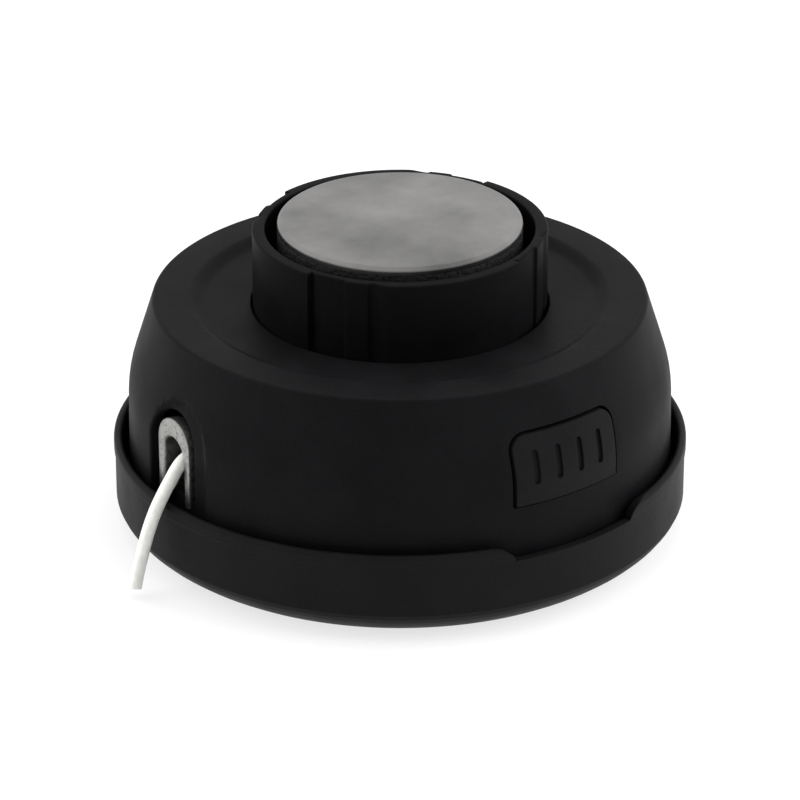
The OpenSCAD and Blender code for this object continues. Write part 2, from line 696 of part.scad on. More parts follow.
// Outline of the collar: each lobe rises on a soft ramp, ends in a sharp step with a groove
// at its foot, and a small rib stands in the gap after it
function collar_points() = [for (i = [0 : 3]) let (a = lobe_end_az - 90 + i * 90) each concat(
    arc(0, 0, knob_gap_r - groove_d, a, a + groove_angle, 1),
    arc(0, 0, knob_gap_r, a + 2 * groove_angle, a + rib_start_angle, 4),
    arc(0, 0, knob_rib_r, a + rib_start_angle + groove_angle, a + rib_start_angle + rib_angle - groove_angle, 3),
    [knob_gap_r * [cos(a + rib_start_angle + rib_angle), sin(a + rib_start_angle + rib_angle)]],
    arc(0, 0, lobe_r, a + 90 - lobe_angle, a + 90, 18)
)];

module knob() {
    boss_r = bearing_out_r + bearing_boss_t;
    color(black) difference() {
        union() {
            translate([0, 0, spool_top_z]) linear_extrude(knob_h) difference() {
                polygon(collar_points());
                circle(collar_bore_r);
            }
            ring(shelf_bore_r, collar_bore_r + join, knob_floor_z, knob_deck_z);
            ring(shelf_bore_r, boss_r, knob_deck_z - join, bearing_z);
            ring(bearing_out_r, boss_r, bearing_z - join, boss_top_z);
        }
        for (i = [0 : screw_count - 1]) at_az(45 + i * 360 / screw_count)
            translate([screw_circle_r, 0, knob_floor_z - over]) cylinder(r = screw_r, h = knob_floor_t + 2 * over);
    }
}

module knob_screws() {
    slot_w = screw_head_h / 2;
    color(steel) for (i = [0 : screw_count - 1]) at_az(45 + i * 360 / screw_count) translate([screw_circle_r, 0, knob_deck_z])
        difference() {
            union() {
                translate([0, 0, -screw_len]) cylinder(r = screw_r, h = screw_len + join);
                cylinder(r = screw_head_r, h = screw_head_h);
            }
            for (a = [0, 90]) rotate([0, 0, a]) translate([-screw_head_r / 2, -slot_w / 2, slot_w])
                cube([screw_head_r, slot_w, screw_head_h]);
        }
}

// Ball bearing under the button
module race(r0, r1) {
    color(steel) translate([0, 0, bearing_mid_z]) rotate_extrude() difference() {
        translate([r0, -bearing_w / 2]) square([r1 - r0, bearing_w]);
        translate([pitch_r, 0]) circle(ball_r + ball_play);
    }
}
module bearing_outer_ring() { race(bearing_out_r - ring_t, bearing_out_r); }
module bearing_inner_ring() { race(bearing_bore_r, bearing_bore_r + ring_t); }

module ball_ring(r) {
    for (i = [0 : ball_count - 1]) rotate([0, 0, i * 360 / ball_count]) translate([pitch_r, 0, bearing_mid_z]) sphere(r);
}
module bearing_balls() { color(steel) ball_ring(ball_r); }
module bearing_cage() {
    half_h = bearing_w * 0.33;
    wall = ball_r / 4;
    color("#8a6d3b") difference() {
        ring(pitch_r - wall, pitch_r + wall, bearing_mid_z - half_h, bearing_mid_z + half_h);
        ball_ring(ball_r + ball_play);
    }
}

module seal(z) {
    color("#26262a") ring(bearing_bore_r + ring_t + run_gap, bearing_out_r - ring_t, z, z + bearing_w / 16);
}
module bearing_seal_upper() { seal(bearing_top_z - bearing_w / 12 - bearing_w / 16); }
module bearing_seal_lower() { seal(bearing_z + bearing_w / 12); }

// Spring steel clip in the stem's groove, under the inner ring
module retaining_clip() {
    color(steel) sector(bearing_bore_r - clip_groove, bearing_bore_r + ring_t, bearing_z - clip_t, bearing_z, clip_mouth / 2, 360 - clip_mouth);
}

// Button: a mushroom on a stem, with a skirt and a steel face
module button_body() {
    stem_low_z = bearing_z - 2 * clip_t;
    collar_r = bearing_bore_r + ring_t * 0.8;
    top_z = cap_top_z - cap_t;
    skirt_r = button_r - skirt_t;
    color("#202022") rotate_extrude() polygon([
        [0, stem_low_z], [bearing_bore_r, stem_low_z], [bearing_bore_r, bearing_z - clip_t],
        [bearing_bore_r - clip_groove, bearing_z - clip_t], [bearing_bore_r - clip_groove, bearing_z],
        [bearing_bore_r, bearing_z], [bearing_bore_r, bearing_top_z], [collar_r, bearing_top_z],
        [collar_r, button_low_z], [skirt_r, button_low_z], [skirt_r, skirt_low_z],
        [button_r, skirt_low_z], [button_r, cap_low_z], [button_r - cap_t, cap_low_z],
        [button_r - cap_t, top_z], [0, top_z]
    ]);
}

// Pressed steel face with a rounded edge and a short rim
module button_cap() {
    color("#c6c6c4") rotate_extrude() polygon(concat(
        [[0, cap_top_z - cap_t], [button_r - cap_t, cap_top_z - cap_t], [button_r - cap_t, cap_low_z], [button_r, cap_low_z]],
        arc(button_r - cap_edge_r, cap_top_z - cap_edge_r, cap_edge_r, 0, 90, 6),
        [[0, cap_top_z]]
    ));
}

housing();
drive_insert();
cover();
eyelet_left();
eyelet_right();
release_tab_left();
release_tab_right();
spring();
thrust_washer();
spool();
line_winding_upper();
line_winding_lower();
line_end_left();
line_end_right();
knob();
knob_screws();
bearing_outer_ring();
bearing_inner_ring();
bearing_cage();
bearing_balls();
bearing_seal_upper();
bearing_seal_lower();
retaining_clip();
button_body();
button_cap();
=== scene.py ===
"""Looks of a bump feed trimmer head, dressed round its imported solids."""

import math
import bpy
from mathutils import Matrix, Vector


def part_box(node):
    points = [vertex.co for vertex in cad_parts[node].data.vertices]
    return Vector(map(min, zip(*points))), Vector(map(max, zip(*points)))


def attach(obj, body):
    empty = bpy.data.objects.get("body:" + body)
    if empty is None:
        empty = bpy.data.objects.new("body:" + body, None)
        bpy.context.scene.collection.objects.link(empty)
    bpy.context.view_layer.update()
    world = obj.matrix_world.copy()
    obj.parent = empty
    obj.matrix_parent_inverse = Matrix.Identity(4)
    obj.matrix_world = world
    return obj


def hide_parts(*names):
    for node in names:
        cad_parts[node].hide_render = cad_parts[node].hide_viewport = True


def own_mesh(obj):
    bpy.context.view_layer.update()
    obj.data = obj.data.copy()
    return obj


bl_info = {
    "name": "Bump feed trimmer head",
    "version": (1, 0, 0),
    "blender": (4, 5, 0),
    "location": "3D View > Sidebar > Trimmer head",
    "description": "Dresses the solids of a bump feed trimmer head in moulded nylon, steel and line",
    "category": "Object",
}

import bmesh
import bpy
from mathutils import Matrix, Vector
from mathutils.geometry import delaunay_2d_cdt

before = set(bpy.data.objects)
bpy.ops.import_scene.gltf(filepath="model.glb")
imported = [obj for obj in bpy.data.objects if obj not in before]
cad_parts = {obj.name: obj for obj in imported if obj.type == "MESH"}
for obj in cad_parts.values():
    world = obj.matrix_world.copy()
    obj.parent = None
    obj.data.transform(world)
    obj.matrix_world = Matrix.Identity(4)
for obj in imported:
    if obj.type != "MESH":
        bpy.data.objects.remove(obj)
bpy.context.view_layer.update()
MM = 0.001


def size(label, millimetres, what):
    """A length that a user can change, given in millimetres and kept in metres."""
    return bpy.props.FloatProperty(
        name=label, description=what, default=millimetres * MM, unit="LENGTH", precision=4, soft_min=0.0
    )


def turn(label, degrees, what):
    """An angle that a user can change, given in degrees and kept in radians."""
    return bpy.props.FloatProperty(name=label, description=what, default=math.radians(degrees), subtype="ANGLE")


def paint(label, hex_colour, what):
    """A colour that a user can change, written as an sRGB hex value."""
    return bpy.props.StringProperty(name=label, description=what, default=hex_colour)


class HeadSizes(bpy.types.PropertyGroup):
    """Sizes that the dressed pieces share with the solids."""

    line_d: size("Line diameter", 3.0, "Diameter of the cutting line")
    wire_d: size("Spring wire", 1.8, "Diameter of the spring's wire")
    exit_az: turn("Line exit", -56.7, "Azimuth of the left line exit, from the viewer's side to the right")
    tab_az: turn("Release tab", 37.0, "Azimuth of the right release tab")


class KnobSizes(bpy.types.PropertyGroup):
    """Sizes of the knob's moulding."""

    bore_r: size("Collar bore", 30.1, "Inner radius of the collar")
    gap_r: size("Collar wall", 31.85, "Outer radius of the collar between its lobes")
    rib_r: size("Rib", 32.5, "Outer radius of the small ribs")
    lobe_r: size("Lobe", 33.0, "Outer radius of the lobes")
    groove_d: size("Groove", 0.3, "Depth of the groove at a lobe's sharp end")
    lobe_end: turn("Lobe end", -127.4, "Direction of the first lobe's sharp end")
    low_z: size("Foot of the knob", 45.0, "Height of the knob's lower edge")
    floor_z: size("Floor", 50.0, "Height of the floor's underside")
    deck_z: size("Deck", 53.0, "Height of the floor's top")
    rim_z: size("Rim", 69.9, "Height of the collar's rim")
    boss_r: size("Boss", 17.4, "Outer radius of the bearing's boss")
    boss_z: size("Boss top", 64.1, "Height of the boss")
    seat_r: size("Bearing seat", 14.0, "Radius of the bearing's seat")
    seat_z: size("Seat floor", 55.0, "Height of the shelf under the bearing")
    shelf_r: size("Shelf bore", 10.6, "Bore of the shelf under the bearing")
    rounding: size("Rounding", 0.45, "Radius on the moulding's edges")


class CoverSizes(bpy.types.PropertyGroup):
    """Sizes of the cover's moulding."""

    low_z: size("Lower edge", 9.0, "Height of the cover's lower edge")
    side_r: size("Side", 61.316, "Radius where the upright side starts to bend in")
    bend_z: size("Bend height", 31.0, "Height where the side starts to bend in")
    bend_r: size("Bend", 30.0, "Radius of the bend in the side")
    draft: turn("Draft", 1.0, "Draft of the upright side")
    lean: turn("Lean", 17.7, "Lean of the side above the bend")
    wall_t: size("Wall", 2.5, "Thickness of the wall")
    seam_z: size("Seam", 50.0, "Height where the side's mesh meets the top's mesh")
    ceiling_z: size("Ceiling", 49.5, "Height of the top's underside")
    top_z: size("Top", 53.6, "Height of the outer top ring")
    top_dip: size("Dip", 1.6, "How far the inner top ring lies below the outer one")
    slope_out_r: size("Slope outside", 47.5, "Radius where the top starts to slope down")
    slope_in_r: size("Slope inside", 43.5, "Radius where the slope ends")
    hole_r: size("Hole", 33.35, "Radius of the hole for the knob")
    shoulder_r: size("Shoulder", 1.0, "Rounding between side and top")
    arch_w: size("Arch", 7.9, "Half width of the arch over an eyelet")
    arch_z: size("Arch top", 39.45, "Height of the arch")
    window_w: size("Window", 14.3, "Half width of a release tab's window")
    window_low: size("Window foot", 28.0, "Height of the window's lower edge")
    window_top: size("Window top", 44.4, "Height of the window's upper edge")
    window_corner: size("Window corner", 4.1, "Rounding of the window's upper corners")
    scoop_r: size("Scoop", 13.2, "Radius of the scoop round an arch")
    scoop_side: size("Scoop offset", 4.24, "How far the scoop's middle lies beside the arch's")
    scoop_z: size("Scoop height", 36.53, "Height of the centre of the scoop's round top")
    scoop_d: size("Scoop depth", 1.6, "Depth of the scoop")
    scoop_soft: size("Scoop edge", 3.1, "Width over which the scoop's edge runs out")
    scoop_slope: bpy.props.FloatProperty(
        name="Scoop slope", description="How fast the scoop narrows as the side leans in", default=2.2
    )
    lug_in_r: size("Lug inside", 36.0, "Inner radius of the ratchet lugs")
    lug_out_r: size("Lug outside", 42.0, "Outer radius of the ratchet lugs")
    lug_h: size("Lug height", 4.0, "Height of a ratchet lug")
    lug_tip_w: size("Lug tip", 3.0, "Width of a ratchet lug at its tip")
    lug_foot_w: size("Lug foot", 5.0, "Width of a ratchet lug at its foot")


class EyeletSizes(bpy.types.PropertyGroup):
    """Sizes of an eyelet."""

    face_x: size("Face", 59.816, "Distance of the face from the head's axis")
    back_x: size("Back", 51.0, "Distance of the back from the head's axis")
    face_r: size("Face radius", 6.4, "Half width of the face")
    neck_r: size("Neck radius", 5.6, "Half width in the groove")
    hole_r: size("Hole radius", 4.2, "Half width of the hole")
    front_t: size("Front flange", 2.8, "Thickness of the front flange")
    back_t: size("Back flange", 1.5, "Thickness of the back flange")
    mouth_r: size("Mouth rounding", 1.1, "Rounding of the hole's mouth")
    edge_r: size("Edge rounding", 0.55, "Rounding of the face's edge")
    low_z: size("Foot", 18.6, "Height of the legs' lower ends")
    hole_z: size("Hole centre", 29.0, "Height of the centre of the hole's round top")
    top_z: size("Top centre", 31.5, "Height of the centre of the face's round top")


class HeadFinish(bpy.types.PropertyGroup):
    """Colours of the pieces, and the grain of their surfaces."""

    shell: paint("Shell", "#0f0f10", "Black nylon of the housing and cover")
    knob: paint("Knob", "#0b0b0c", "Black nylon of the knob")
    button: paint("Button", "#101010", "Coarse-grained plastic of the button")
    face: paint("Steel face", "#868584", "Satin stainless steel of the button's face")
    eyelet: paint("Eyelet", "#a2a29f", "Tumbled zinc casting of the eyelets")
    line: paint("Line", "#dcddd8", "Nylon of the cutting line")
    shell_grain: size("Shell grain", 0.55, "Distance between the grains of the moulded skin")
    button_grain: size("Button grain", 0.9, "Distance between the grains of the button's side")
    # The steel face's patches are about as large as the face: tone that differs at random, and a painted reflection
    # that leaves the face darker at the left and lighter at the right.
    face_tone_and_sheen: size("Face mottle", 40.0, "Size of the soft patches on the steel face")


class StageSettings(bpy.types.PropertyGroup):
    """The camera and the lights."""

    distance: size("Camera distance", 1000.0, "From the aim point to the camera")
    elevation: turn("Camera elevation", 25.66, "How far the camera looks down")
    aim_z: size("Aim height", 26.96, "Height of the point that the camera looks at")
    lens: bpy.props.FloatProperty(
        name="Lens", description="Focal length on a 36 mm sensor", default=198.4, unit="CAMERA"
    )


def linear(hex_colour):
    """An sRGB hex value as linear RGBA."""
    channels = [int(hex_colour.lstrip("#")[i : i + 2], 16) / 255 for i in (0, 2, 4)]
    return [c / 12.92 if c <= 0.04045 else ((c + 0.055) / 1.055) ** 2.4 for c in channels] + [1.0]


def node(material, kind, settings=None, stops=(), **inputs):
    """Adds a shader node, sets its properties and ramp stops, and fills its inputs with values or links.

    An input is named by its label with underscores, or by its place as input_0, input_1 and so on.
    """
    tree = material.node_tree
    new = tree.nodes.new(kind)
    for name, value in (settings or {}).items():
        setattr(new, name, value)
    for place, _ in stops[2:]:
        new.color_ramp.elements.new(place)
    for element, (place, colour) in zip(new.color_ramp.elements if stops else (), stops):
        element.position = place
        element.color = colour
    for name, value in inputs.items():
        if name.startswith("input_"):
            socket = new.inputs[int(name[6:])]
        else:
            socket = new.inputs[name.replace("_", " ")]
        if isinstance(value, bpy.types.NodeSocket):
            tree.links.new(value, socket)
        else:
            socket.default_value = value
    return new


def shades(hex_colour, low, high):
    """Two linear colours round a hex value: one darker by low and one lighter by high."""
    base = linear(hex_colour)
    return [c * low for c in base[:3]] + [1.0], [min(c * high, 1.0) for c in base[:3]] + [1.0]


def new_material(name):
    """An empty node material and the coordinates of its object, in metres."""
    material = bpy.data.materials.new(name)
    material.use_nodes = True
    material.node_tree.nodes.clear()
    place = node(material, "ShaderNodeTexCoord").outputs["Object"]
    return material, place


def finish_surface(material, **inputs):
    """Ends a material in one Principled shader."""
    shader = node(material, "ShaderNodeBsdfPrincipled", **inputs)
    node(material, "ShaderNodeOutputMaterial", Surface=shader.outputs[0])
    return material


def moulded_nylon(name, hex_colour, grain, depth, roughness, gloss, edge_r=0.35 * MM):
    """Black glass-filled nylon, injection moulded against a spark-eroded tool.

    It gives the eye a deep matte black with a fine even grain and a faint milky cloudiness
    where the melt met. The real grain is about 0.1 mm and is drawn coarser, so that it shows
    at the picture's scale. The shader rounds the sharp edges of a CAD mesh by edge_r. A mesh
    with real round edges needs none.
    """
    material, place = new_material(name)
    fine = node(material, "ShaderNodeTexNoise", Vector=place, Scale=1 / grain, Detail=3.0, Roughness=0.6)
    cloud_size = 22 * grain
    cloud = node(material, "ShaderNodeTexNoise", Vector=place, Scale=1 / cloud_size, Detail=4.0, Roughness=0.55)
    dark, light = shades(hex_colour, 0.86, 1.18)
    stops = [(0.35, dark), (0.68, light)]
    colour = node(material, "ShaderNodeValToRGB", stops=stops, input_0=cloud.outputs[0]).outputs[0]
    speck = node(
        material, "ShaderNodeMix", {"data_type": "RGBA", "blend_type": "OVERLAY"},
        Factor=0.5, input_6=colour, input_7=fine.outputs[1],
    )
    rough = node(
        material, "ShaderNodeMapRange",
        Value=cloud.outputs[0], From_Min=0.3, From_Max=0.7, To_Min=roughness - 0.05, To_Max=roughness + 0.06,
    )
    edge = node(material, "ShaderNodeBevel", {"samples": 6}, Radius=edge_r)
    bump = node(
        material, "ShaderNodeBump",
        Height=fine.outputs[0], Distance=depth, Strength=1.0, Normal=edge.outputs[0],
    )
    return finish_surface(
        material, Base_Color=speck.outputs[2], Roughness=rough.outputs[0], Normal=bump.outputs[0],
        Specular_IOR_Level=gloss, IOR=1.53,
    )


def grained_plastic(name, hex_colour, grain):
    """Black plastic moulded with a coarse sand-like grain, as on the button's side.

    It gives the eye a speckle of small grey lights on black.
    """
    material, place = new_material(name)
    cells = node(material, "ShaderNodeTexVoronoi", Vector=place, Scale=1 / grain, Randomness=1.0)
    fine = node(material, "ShaderNodeTexNoise", Vector=place, Scale=2.2 / grain, Detail=3.0)
    height = node(
        material, "ShaderNodeMath", {"operation": "ADD"},
        input_0=cells.outputs["Distance"], input_1=fine.outputs[0],
    )
    dark, light = shades(hex_colour, 0.55, 3.2)
    stops = [(0.55, dark), (1.0, light)]
    colour = node(material, "ShaderNodeValToRGB", stops=stops, input_0=height.outputs[0]).outputs[0]
    bump = node(material, "ShaderNodeBump", Height=height.outputs[0], Distance=0.25 * grain, Strength=1.0)
    return finish_surface(
        material, Base_Color=colour, Roughness=0.62, Normal=bump.outputs[0], Specular_IOR_Level=0.15, IOR=1.53
    )


def satin_stainless(name, hex_colour, tone_and_sheen):
    """Stainless steel sheet, tumbled to a satin and pressed to shape.

    It gives the eye a soft grey mirror with patches and a very fine grit. The patches are about as large as the
    face, so besides tone that differs at random they paint a reflection, darker at the left and lighter at the
    right.
    """
    material, place = new_material(name)
    # Painted reflection: patches as large as the face leave its left darker and its right lighter, over tone that
    # differs at random
    patches = node(
        material, "ShaderNodeTexNoise", {"noise_dimensions": "4D"},
        Vector=place, W=5.0, Scale=1 / tone_and_sheen, Detail=6.0, Roughness=0.6,
    )
    grit = node(material, "ShaderNodeTexNoise", Vector=place, Scale=40 / tone_and_sheen, Detail=4.0, Roughness=0.7)
    dark, light = shades(hex_colour, 0.55, 1.42)
    stops = [(0.35, dark), (0.65, light)]
    colour = node(material, "ShaderNodeValToRGB", stops=stops, input_0=patches.outputs[0]).outputs[0]
    rough = node(
        material, "ShaderNodeMapRange",
        Value=patches.outputs[0], From_Min=0.35, From_Max=0.65, To_Min=0.3, To_Max=0.38,
    )
    bump = node(material, "ShaderNodeBump", Height=grit.outputs[0], Distance=0.012 * MM, Strength=1.0)
    return finish_surface(
        material, Base_Color=colour, Metallic=1.0, Roughness=rough.outputs[0], Normal=bump.outputs[0]
    )


def tumbled_zinc(name, hex_colour):
    """Zinc die casting, tumbled bright and then worn by the line.

    It gives the eye a light satin grey with small dark pits.
    """
    material, place = new_material(name)
    pits = node(material, "ShaderNodeTexNoise", Vector=place, Scale=1 / (0.9 * MM), Detail=5.0, Roughness=0.7)
    dark, light = shades(hex_colour, 0.5, 1.08)
    stops = [(0.36, dark), (0.5, light)]
    colour = node(material, "ShaderNodeValToRGB", stops=stops, input_0=pits.outputs[0]).outputs[0]
    bump = node(material, "ShaderNodeBump", Height=pits.outputs[0], Distance=0.05 * MM, Strength=1.0)
    return finish_surface(material, Base_Color=colour, Metallic=1.0, Roughness=0.42, Normal=bump.outputs[0])


def machined_steel(name, hex_colour, roughness, pitch):
    """Turned, drawn, ground or stamped metal with fine rings from the tool.

    It gives the eye a metal with a thin regular sheen.
    """
    material, place = new_material(name)
    rings = node(
        material, "ShaderNodeTexWave", {"wave_type": "RINGS", "rings_direction": "Z"},
        Vector=place, Scale=0.3 / pitch, Distortion=0.6, Detail=2.0,
    )
    bump = node(material, "ShaderNodeBump", Height=rings.outputs[1], Distance=0.01 * MM, Strength=1.0)
    stain = node(material, "ShaderNodeTexNoise", Vector=place, Scale=1 / (4 * MM), Detail=4.0)
    dark, light = shades(hex_colour, 0.8, 1.08)
    stops = [(0.35, dark), (0.65, light)]
    colour = node(material, "ShaderNodeValToRGB", stops=stops, input_0=stain.outputs[0]).outputs[0]
    return finish_surface(material, Base_Color=colour, Metallic=1.0, Roughness=roughness, Normal=bump.outputs[0])


def nitrile_rubber(name, hex_colour):
    """Moulded nitrile rubber, matte with a dusty bloom."""
    material, place = new_material(name)
    bloom = node(material, "ShaderNodeTexNoise", Vector=place, Scale=1 / (2 * MM), Detail=4.0)
    dark, light = shades(hex_colour, 0.8, 1.5)
    stops = [(0.4, dark), (0.7, light)]
    colour = node(material, "ShaderNodeValToRGB", stops=stops, input_0=bloom.outputs[0]).outputs[0]
    bump = node(material, "ShaderNodeBump", Height=bloom.outputs[0], Distance=0.03 * MM, Strength=1.0)
    return finish_surface(material, Base_Color=colour, Roughness=0.8, Normal=bump.outputs[0], IOR=1.52)


def nylon_monofilament(name, hex_colour):
    """Extruded nylon line, unpigmented.

    It gives the eye a milky white that lets a little light through, with faint cloudy
    patches and a soft gloss.
    """
    material, place = new_material(name)
    cloud = node(material, "ShaderNodeTexNoise", Vector=place, Scale=1 / (1.6 * MM), Detail=3.0)
    dark, light = shades(hex_colour, 0.94, 1.04)
    stops = [(0.35, dark), (0.65, light)]
    colour = node(material, "ShaderNodeValToRGB", stops=stops, input_0=cloud.outputs[0]).outputs[0]
    bump = node(material, "ShaderNodeBump", Height=cloud.outputs[0], Distance=0.02 * MM, Strength=1.0)
    return finish_surface(
        material, Base_Color=colour, Roughness=0.38, Normal=bump.outputs[0], IOR=1.53,
        Subsurface_Weight=0.5, Subsurface_Radius=(1.0, 1.0, 0.95), Subsurface_Scale=1.5 * MM,
    )


def dress(material, *names):
    """Gives CAD nodes a material and leaves the shape of their meshes alone."""
    for name in names:
        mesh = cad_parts[name].data
        mesh.materials.clear()
        mesh.materials.append(material)


def frame_check(name):
    """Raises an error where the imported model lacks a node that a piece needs."""
    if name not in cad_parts:
        raise RuntimeError(f"the packed model has no node named {name}")


def add_mesh(name, mesh, material, body, replaced=()):
    """Links a finished mesh as a piece that rides on a body."""
    piece = bpy.data.objects.new(name, mesh)
    bpy.context.scene.collection.objects.link(piece)
    mesh.materials.append(material)
    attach(piece, body)
    for old in replaced:
        frame_check(old)
        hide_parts(old)
    return piece


def steps(start, end, count):
    """Evenly spaced numbers from start to end."""
    return [start + (end - start) * i / count for i in range(count + 1)]


def ease(t):
    """0 to 1 with a soft start and end."""
    t = min(max(t, 0.0), 1.0)
    return t * t * (3 - 2 * t)


def bend(x, z, radius, start, end, count=5):
    """Points of an arc round (x, z), from one angle in degrees to another."""
    turns = [math.radians(a) for a in steps(start, end, count)]
    return [(x + radius * math.cos(a), z + radius * math.sin(a)) for a in turns]


def inside(x, y, loop):
    """True where a point lies inside a loop of points."""
    crossings = 0
    for p, q in zip(loop, loop[1:] + loop[:1]):
        if (p.y > y) != (q.y > y) and x < (q.x - p.x) * (y - p.y) / (q.y - p.y) + p.x:
            crossings += 1
    return crossings % 2 == 1


def finished_mesh(name, points, faces, crease=35):
    """A mesh with its faces turned outward, smooth apart from creases sharper than an angle in degrees."""
    mesh = bpy.data.meshes.new(name)
    mesh.from_pydata(points, [], faces)
    shape = bmesh.new()
    shape.from_mesh(mesh)
    bmesh.ops.remove_doubles(shape, verts=shape.verts, dist=0.002 * MM)
    bmesh.ops.recalc_face_normals(shape, faces=shape.faces)
    shape.to_mesh(mesh)
    shape.free()
    mesh.shade_smooth()
    mesh.set_sharp_from_angle(angle=math.radians(crease))
    return mesh


def ring_faces(rings, loop=False, caps=False):
    """Faces between successive rings of points, which all have the same number of points."""
    count = len(rings[0])
    faces = []
    for r in range(len(rings) if loop else len(rings) - 1):
        a, b = r * count, (r + 1) % len(rings) * count
        faces += [(a + i, a + (i + 1) % count, b + (i + 1) % count, b + i) for i in range(count)]
    if caps:
        last = (len(rings) - 1) * count
        faces += [tuple(range(count)), tuple(range(last + count - 1, last - 1, -1))]
    return faces


def skin(name, rings, loop=False, caps=False, crease=35):
    """A mesh stretched over successive rings of points."""
    return finished_mesh(name, [p for ring in rings for p in ring], ring_faces(rings, loop, caps), crease)


def turned(name, outline, count=180):
    """A closed outline of (radius, height) turned round the head's axis."""
    rings = []
    for a in steps(0, math.tau, count)[:-1]:
        rings.append([(r * math.cos(a), r * math.sin(a), z) for r, z in outline])
    return skin(name, rings, loop=True)


def coiled(name, path, wire_r, sides=12):
    """A round wire that runs round the head's axis along (angle, radius, height)."""
    rings = []
    for a, r, z in path:
        section = [(r + wire_r * math.cos(b), z + wire_r * math.sin(b)) for b in steps(0, math.tau, sides)[:-1]]
        rings.append([(x * math.cos(a), x * math.sin(a), y) for x, y in section])
    return skin(name, rings, caps=True)


# Number of turns of the spring
SPRING_TURNS = 7
# Pitch of the spring's closed end turns, as a share of its wire
CLOSED_PITCH = 1.05
# Outer radius of the spool's sleeve, which the windings lie on
SLEEVE_R = 25 * MM
# Step from one layer of a winding to the next, as a share of the line's diameter
LAYER_STEP = 0.8
# Share of a turn in which the line steps across to its next place
CROSSING = 0.1
# How much of a full turn the last turn of a layer leaves open
CAP_GAP = 0.02

# Number of ratchet lugs under the cover's top, and how far they are sunk into it
LUGS = 12
LUG_SUNK = 0.4 * MM
# Rounding of the cover's edges at an arch, at a window and at the knob's hole
ARCH_ROUNDING = 0.6 * MM
WINDOW_ROUNDING = 0.25 * MM
HOLE_ROUNDING = 0.5 * MM
# Each half turn of the cover's mesh starts this far before a line exit
HALF_START = math.radians(58)
# Degrees from one column of its points to the next, and rows of points up the side
COLUMN_STEP = 2
ROWS = 20
# Distance that the points of this coarse grid keep from the rims of arch and window
COARSE_GAP = 1.6 * MM
# The fine grid round a scoop: its distance from the rims and from the coarse points
FINE_GAP = MM
FINE_PITCH = 0.5 * MM
# Its half width, and how far it stays above the lower edge and below the seam
FINE_REACH = 24 * MM
FINE_FOOT = 0.9 * MM
FINE_HEAD = 2 * MM

# Route of the cutting line out of an eyelet: distance out, distance sideways, height
LINE_ROUTE = [
    (51.5, 2.3, 29.6), (54, 2.3, 29.6), (56.5, 2.3, 29.4), (58.6, 2.4, 28.7), (60.6, 3.1, 27.5),
    (62.6, 3.9, 25.7), (64, 4.25, 24.2), (65.3, 4.5, 22.5), (66.7, 4.65, 20.5), (68.2, 4.7, 17.5),
    (69.4, 4.65, 14.4), (70.3, 4.5, 11.3), (71.2, 4.4, 8), (72.1, 4.45, 5), (72.5, 4.55, 3.6),
    (72.9, 4.7, 2.2),
]


def at_azimuth(point, azimuth):
    """A point given as (out, sideways, up) in millimetres, turned to an azimuth, in metres."""
    out, side, up = (c * MM for c in point)
    sine, cosine = math.sin(azimuth), math.cos(azimuth)
    return Vector((out * sine + side * cosine, side * sine - out * cosine, up))


def route_points(azimuth):
    """The line's route out of the exit at an azimuth, as points in metres."""
    return [at_azimuth(p, azimuth) for p in LINE_ROUTE]


class TRIMMER_OT_shells(bpy.types.Operator):
    """Finishes the housing and the release tabs"""

    bl_idname = "trimmer.shells"
    bl_label = "Housing and tabs"

    def execute(self, context):
        finish = context.scene.head_finish
        nylon = moulded_nylon(
            "moulded_black_nylon", finish.shell, finish.shell_grain,
            depth=0.06 * MM, roughness=0.5, gloss=0.07,
        )
        dress(nylon, "housing", "release_tab_left", "release_tab_right")
        return {"FINISHED"}


